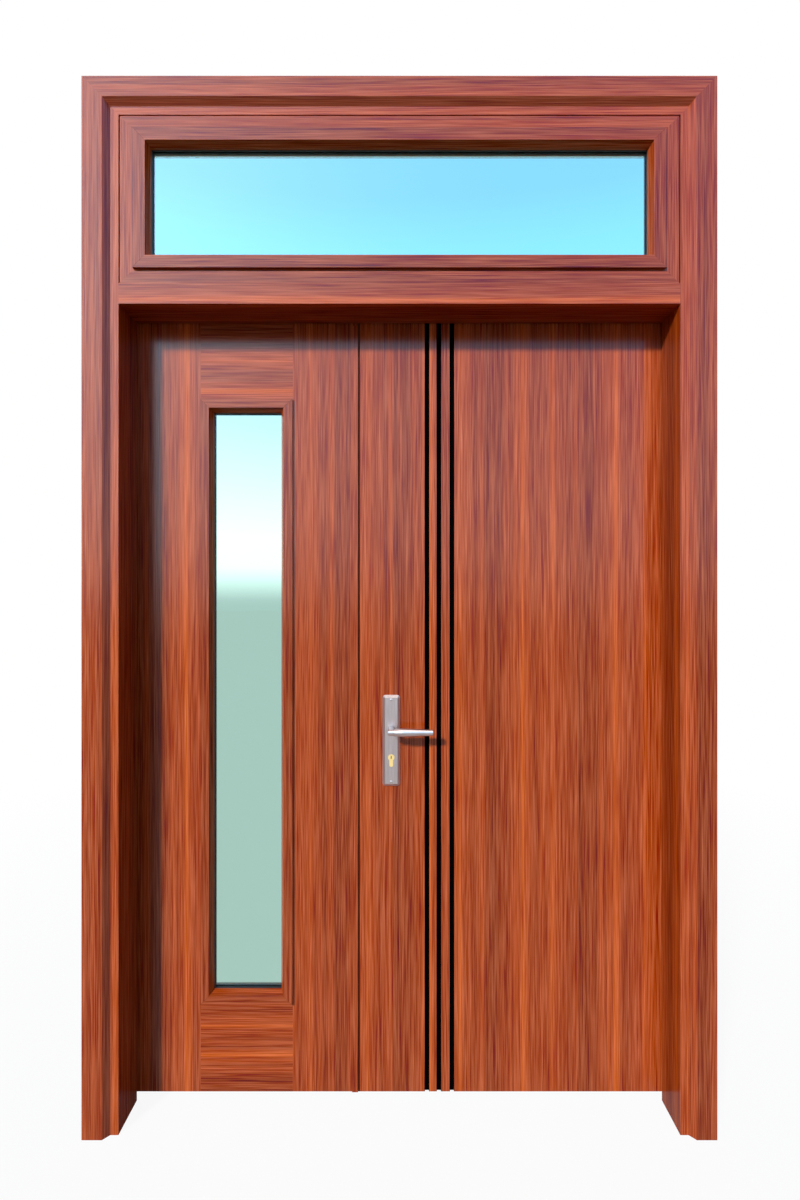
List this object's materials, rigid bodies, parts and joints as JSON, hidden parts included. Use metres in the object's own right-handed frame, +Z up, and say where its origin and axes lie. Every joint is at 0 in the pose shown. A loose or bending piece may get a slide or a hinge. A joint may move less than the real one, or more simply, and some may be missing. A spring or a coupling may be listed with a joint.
{
  "type": "steel double door with transom light",
  "caption": "Wood-grain steel door with one wide and one narrow leaf, a glazed vision panel, a fixed light over a transom bar, a moulded frame and a lever lock.",
  "frame": {"origin": "the left jamb's wall face, at floor level, in line with the wall's front surface", "axes": "+X across the doorway to the right, +Y from the viewer through the wall, +Z up"},
  "size_m": [1.555, 0.251, 2.6015],
  "materials": {
    "wood_grain_steel": "steel sheet with a printed reddish wood grain under a glossy clear coat",
    "tinted_glass": "pale blue-green reflective glass",
    "black_rubber": "matt black rubber",
    "black_lining": "matt black lining",
    "satin_steel": "satin stainless steel",
    "brass": "polished brass"
  },
  "bodies": {
    "frame": {"left_jamb": "wood_grain_steel", "right_jamb": "wood_grain_steel", "head": "wood_grain_steel", "left_casing": "wood_grain_steel", "right_casing": "wood_grain_steel", "head_casing": "wood_grain_steel", "transom_bar": "wood_grain_steel", "transom_top_rail": "wood_grain_steel", "transom_bottom_rail": "wood_grain_steel", "transom_left_stile": "wood_grain_steel", "transom_right_stile": "wood_grain_steel", "transom_front_beads": "wood_grain_steel", "transom_back_beads": "wood_grain_steel", "transom_glass": "tinted_glass", "transom_gaskets": "black_rubber", "door_seal": "black_rubber", "left_hinge_frame_halves": "satin_steel", "right_hinge_frame_halves": "satin_steel"},
    "left_leaf": {"left_leaf_hinge_stile": "wood_grain_steel", "left_leaf_meeting_stile": "wood_grain_steel", "left_leaf_top_rail": "wood_grain_steel", "left_leaf_bottom_rail": "wood_grain_steel", "left_leaf_front_beads": "wood_grain_steel", "left_leaf_back_beads": "wood_grain_steel", "meeting_strip": "wood_grain_steel", "left_leaf_glass": "tinted_glass", "left_leaf_gaskets": "black_rubber", "meeting_seal": "black_rubber", "left_hinge_leaf_halves": "satin_steel", "strike_plate": "satin_steel", "flush_bolts": "satin_steel"},
    "right_leaf": {"right_leaf_panel": "wood_grain_steel", "channel_liners": "black_lining", "front_lock_plate": "satin_steel", "back_lock_plate": "satin_steel", "lock_cylinder": "brass", "lock_faceplate": "satin_steel", "lock_bolts": "satin_steel", "right_hinge_leaf_halves": "satin_steel"},
    "handle": {"front_lever": "satin_steel", "back_lever": "satin_steel", "spindle": "satin_steel"}
  },
  "joints": [
    {"name": "left_leaf_hinge", "type": "hinge", "parent": "frame", "child": "left_leaf", "pos_m": [0.0385, 0.173, 1.04], "axis": [0, 0, 1], "range_deg": [0, 110]},
    {"name": "right_leaf_hinge", "type": "hinge", "parent": "frame", "child": "right_leaf", "pos_m": [1.4495, 0.173, 1.04], "axis": [0, 0, -1], "range_deg": [0, 110]},
    {"name": "lever_turn", "type": "hinge", "parent": "right_leaf", "child": "handle", "pos_m": [0.7225, 0.14, 0.9815], "axis": [0, 1, 0], "range_deg": [0, 40], "stiffness_Nm_per_rad": 1, "springref_deg": -20.05}
  ]
}
